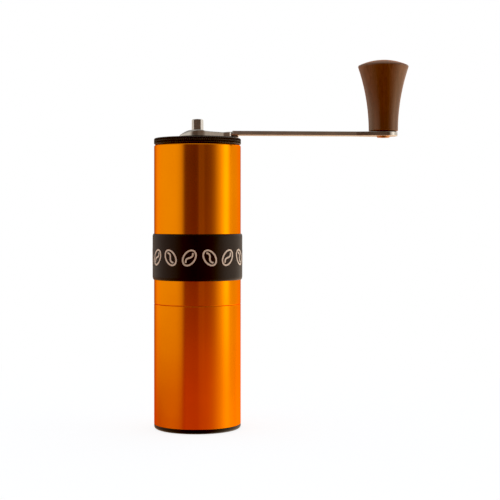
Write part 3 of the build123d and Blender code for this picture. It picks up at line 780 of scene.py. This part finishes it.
def make_dial_scale():
    """Raised ticks and the numbers 0 to 5 on the adjuster dial's upper face."""
    ticks, long_every, longer = 30, 5, 0.7
    tick_outer, tick_inner, tick_width = DIAL_RADIUS - 0.9, DIAL_RADIUS - 2.1, 0.28
    number_radius, number_size = 7.2, 2.4
    sunk, raised = 0.03, 0.04
    low, high = DIAL_HIGH - sunk, DIAL_HIGH + raised
    mesh_data = bmesh.new()
    for tick in range(ticks):
        angle = FULL_TURN * tick / ticks
        inner = tick_inner - (longer if tick % long_every == 0 else 0.0)
        outward = Vector((math.cos(angle), math.sin(angle)))
        sideways = Vector((-outward.y, outward.x)) * tick_width / 2
        sections = []
        for reach in (inner, tick_outer):
            base = outward * reach
            corners = (
                (base - sideways, low), (base + sideways, low),
                (base + sideways, high), (base - sideways, high),
            )
            section = [mesh_data.verts.new((p.x * MM, p.y * MM, z * MM)) for p, z in corners]
            sections.append(section)
        strand_into(mesh_data, sections, False)
    for number in range(ticks // long_every):
        font = bpy.data.curves.new("dial_number", "FONT")
        font.body = str(number)
        font.size = number_size * MM
        font.extrude = (high - low) * MM / 2
        font.align_x = "CENTER"
        font.align_y = "CENTER"
        glyph = bpy.data.objects.new("dial_number", font)
        angle = FULL_TURN * number * long_every / ticks
        glyph.location = (
            number_radius * MM * math.cos(angle), number_radius * MM * math.sin(angle),
            (low + high) / 2 * MM,
        )
        glyph.rotation_euler = (0, 0, angle + QUARTER_TURN)
        bpy.context.scene.collection.objects.link(glyph)
        bpy.context.view_layer.update()
        outline = bpy.data.meshes.new_from_object(glyph)
        outline.transform(glyph.matrix_world)
        mesh_data.from_mesh(outline)
        bpy.data.objects.remove(glyph)
        bpy.data.meshes.remove(outline)
    finish_mesh("dial_scale", mesh_data, DIAL_INK, "dial")


def make_spring():
    """Round-wire coil with closed end turns."""
    turns, wire = 4.6, 0.4
    flat_share, rising_share = 0.14, 0.72
    steps, sides = 240, 14
    radius = SPRING_OUTER - wire
    low, high = SPRING_LOW + wire, SPRING_HIGH - wire
    mesh_data = bmesh.new()
    sections = []
    for step in range(steps + 1):
        share = step / steps
        angle = FULL_TURN * turns * share
        climbed = min(1.0, max(0.0, (share - flat_share) / rising_share))
        height = low + (high - low) * climbed
        section = []
        for side in range(sides):
            around = FULL_TURN * side / sides
            reach = (radius + wire * math.cos(around)) * MM
            up = (height + wire * math.sin(around)) * MM
            spot = (reach * math.cos(angle), reach * math.sin(angle), up)
            section.append(mesh_data.verts.new(spot))
        sections.append(section)
    strand_into(mesh_data, sections, False)
    piece = finish_mesh("preload_coil", mesh_data, WIRE_STEEL, "rotor")
    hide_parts("preload_spring")
    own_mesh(piece)


# ---------------------------------------------------------------- stage, light and camera

def make_floor():
    """Pale floor that fades into the white backdrop, and that only the camera sees."""
    near, far, radius, drop = 0.06, 0.30, 1.2, 0.0001
    pale, black = (0.30, 0.335, 0.39), (0.0, 0.0, 0.0)
    mesh_data = bmesh.new()
    bmesh.ops.create_circle(mesh_data, cap_ends=True, segments=128, radius=radius)
    mesh = bpy.data.meshes.new("floor")
    mesh_data.to_mesh(mesh)
    mesh_data.free()
    floor = bpy.data.objects.new("floor", mesh)
    floor.location.z = -drop
    bpy.context.scene.collection.objects.link(floor)
    finish = Finish("pale_floor")
    distance = finish.node("VectorMath", {0: finish.place}, operation="LENGTH").outputs["Value"]
    fade = finish.span(distance, 0.0, 1.0, near, far)
    finish.set(
        Base_Color=finish.ramp(fade, (0.0, pale), (1.0, black)),
        Roughness=1.0,
        Specular_IOR_Level=0.0,
        Emission_Color=(1.0, 1.0, 1.0, 1.0),
        Emission_Strength=finish.span(fade, 0.84, 1.0, 0.0, 1.0),
    )
    mesh.materials.append(finish.material)
    for kind in ("glossy", "diffuse", "transmission", "shadow"):
        setattr(floor, "visible_" + kind, False)


def glow(level):
    """Light of one brightness: nearly white where bright, and warmer where dim."""
    dim, white = 0.10, 0.80
    dim_green, dim_blue, more_green, more_blue = 0.70, 0.52, 0.22, 0.30
    share = max(0.0, min(1.0, (level - dim) / (white - dim)))
    green, blue = dim_green + more_green * share, dim_blue + more_blue * share
    return (level, level * green, level * blue)


# Light by direction. Degrees go round the grinder, from 0 at the front to 90 on the right, and
# CAMERA_SIDE is where the front lies from -Y. Heights are those of a unit vector: -1 down, 1 up.
CAMERA_SIDE = -2.6
HIGH_WALLS_FROM, CEILING_FROM, CEILING_FULL = 0.10, 0.30, 0.52
TABLE_EDGE, TABLE_FULL, NEAR_TABLE_FROM, NEAR_TABLE_FULL = -0.055, -0.147, -0.16, -0.30
PANEL_LEVELS = (
    (-180, 0.42), (-167, 0.24), (-146, 0.70), (-135, 0.92), (-110, 0.86), (-60, 0.84),
    (-51, 0.78), (-42, 0.62), (-33, 0.12), (-5, 0.09), (2, 0.11), (5, 0.22), (9, 0.17),
    (15, 0.20), (21, 0.13), (36, 0.18), (46, 0.32), (57, 0.66), (68, 1.02), (78, 1.65),
    (86, 1.65), (96, 0.86), (112, 0.78), (130, 0.86), (150, 0.94), (166, 0.58), (180, 0.42),
)
HIGH_GLOW = (
    (70, (0, 0, 0)), (92, (0.5, 0.46, 0.42)), (140, (0.7, 0.64, 0.58)), (168, (0.6, 0.55, 0.5)),
    (178, (0, 0, 0)),
)
CEILING = (0.46, 0.44, 0.42, 1.0)
TABLE = (
    (-175, (0.75, 0.32, 0.09)), (-152, (0.55, 0.20, 0.05)), (-120, (0.38, 0.06, 0.02)),
    (-75, (0.43, 0.025, 0.01)), (-40, (0.47, 0.035, 0.01)), (-30, (0.64, 0.155, 0.04)),
    (0, (0.65, 0.165, 0.045)), (28, (0.79, 0.25, 0.06)), (60, (0.84, 0.43, 0.16)),
    (85, (0.95, 0.72, 0.40)), (118, (0.94, 0.62, 0.34)), (140, (1.40, 1.05, 0.70)),
    (162, (1.30, 0.95, 0.62)), (178, (0.80, 0.36, 0.10)),
)
# How much lower the table's edge lies.
TABLE_DROP = ((-178, (0.026,) * 3), (-42, (0.026,) * 3), (-30, (0.0,) * 3))
NEAR_TABLE = (
    (-177, (0.95, 0.55, 0.28)), (-150, (1.15, 0.58, 0.27)), (-130, (0.85, 0.60, 0.40)),
    (-75, (0.80, 0.52, 0.33)), (-35, (0.30, 0.13, 0.06)), (0, (0.20, 0.07, 0.03)),
    (40, (0.32, 0.14, 0.07)), (75, (1.20, 0.92, 0.68)), (110, (1.95, 1.55, 1.22)),
    (150, (1.95, 1.55, 1.20)), (178, (0.95, 0.65, 0.42)),
)


def make_world():
    """Studio light: a broad panel on each side, dim at the front, over a warm table.

    The right panel is the brighter one. High up, both fade into a grey ceiling. Camera rays see
    a plain white backdrop instead.
    """
    world = bpy.data.worlds.new("studio")
    world.use_nodes = True
    world.node_tree.nodes.clear()
    bpy.context.scene.world = world
    sky = Nodes(world.node_tree)
    direction = sky.node("SeparateXYZ", {0: sky.node("TexCoord").outputs["Generated"]}).outputs
    around = sky.maths("ARCTAN2", direction["X"], sky.maths("MULTIPLY", direction["Y"], -1.0))
    turn = sky.span(around, 0.0, 1.0, -math.pi, math.pi)

    def round_ramp(stops):
        """Colour ramp round the grinder through (degrees, colour) stops."""
        return sky.ramp(turn, *[
            (min(1.0, max(0.0, (degrees + CAMERA_SIDE + 180) / 360)), color)
            for degrees, color in stops
        ])

    def by_height(start, end, height=direction["Z"]):
        """Share from 0 to 1 while a height goes from start to end."""
        return sky.span(height, 0.0, 1.0, start, end)

    panels = round_ramp([(degrees, glow(level)) for degrees, level in PANEL_LEVELS])
    brighter = sky.blended(1.0, panels, round_ramp(HIGH_GLOW), "ADD")
    walls = sky.blended(by_height(HIGH_WALLS_FROM, CEILING_FROM), panels, brighter)
    above = sky.blended(by_height(CEILING_FROM, CEILING_FULL), walls, CEILING)
    nearness = by_height(NEAR_TABLE_FROM, NEAR_TABLE_FULL)
    ground = sky.blended(nearness, round_ramp(TABLE), round_ramp(NEAR_TABLE))
    dropped = sky.maths("ADD", direction["Z"], round_ramp(TABLE_DROP))
    below = by_height(TABLE_EDGE, TABLE_FULL, dropped)
    color = sky.blended(below, above, ground)
    studio = sky.node("Background", {"Color": color, "Strength": 1.0})
    backdrop = sky.node("Background", {"Color": (1.0, 1.0, 1.0, 1.0), "Strength": 1.0})
    mix = sky.node("MixShader", {0: sky.node("LightPath").outputs["Is Camera Ray"],
                                 1: studio.outputs[0], 2: backdrop.outputs[0]})
    sky.node("OutputWorld", {"Surface": mix.outputs[0]})


def make_camera():
    """Level camera, a little over half of the overall height up and a little to the left."""
    data = bpy.data.cameras.new("camera")
    data.lens = 90.0
    data.sensor_width = 36.0
    data.shift_y = -0.0652
    camera = bpy.data.objects.new("camera", data)
    camera.location = (-0.0301, -0.6639, 0.1115)
    camera.rotation_euler = (QUARTER_TURN, 0, math.radians(-5))
    bpy.context.scene.collection.objects.link(camera)
    bpy.context.scene.camera = camera


def make_exposure():
    """Plain display colours, with the darkest tones pressed to black."""
    view = bpy.context.scene.view_settings
    view.view_transform = "Standard"
    view.use_curve_mapping = True
    view.curve_mapping.black_level = (0.010, 0.0105, 0.0105)
    view.curve_mapping.update()


NODE_FINISHES = {
    "body_tube": ORANGE, "collection_cup": ORANGE,
    "grip_band": BAND_RUBBER, "base_pad": PAD_RUBBER,
    "lid": BLACK_METAL, "lid_o_ring": SEAL_RUBBER, "spigot_o_ring": SEAL_RUBBER,
    "adjuster_dial": BLACK_METAL, "crank_arm": STEEL, "spindle": SHAFT_STEEL,
    # knob_screw's red-brown colour is painted reflection of warm light from below.
    "knob": WALNUT, "knob_washer": FIBRE, "knob_insert": BRASS, "knob_screw": SCREW_PAINTED_WARM_REFLECTION,
    "outer_burr": BURR_STEEL, "inner_burr": BURR_STEEL,
    "preload_spring": WIRE_STEEL, "bridge_circlip": WIRE_STEEL,
    "burr_bolt": BOLT_STEEL, "burr_washer": BOLT_STEEL, "burr_drive_pin": BOLT_STEEL,
    "burr_grub_screws": BOLT_STEEL, "spring_washer": BOLT_STEEL,
    "upper_bridge": CARRIER_ALLOY, "lower_spider": CARRIER_ALLOY, "burr_housing": CARRIER_ALLOY,
}
for level in ("upper", "lower"):
    NODE_FINISHES[f"{level}_bearing_cage"] = BRASS
    for part in ("outer_race", "inner_race", "balls", "shields"):
        NODE_FINISHES[f"{level}_bearing_{part}"] = RACE_STEEL
for node_name, node_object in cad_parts.items():
    node_object.data.materials.clear()
    node_object.data.materials.append(NODE_FINISHES[node_name])

make_cup()
make_tube()
make_pad()
make_band()
make_band_print()
make_lid()
make_spindle()
make_crank()
make_knob()
make_dial_scale()
make_spring()
make_floor()
make_world()
make_camera()
make_exposure()
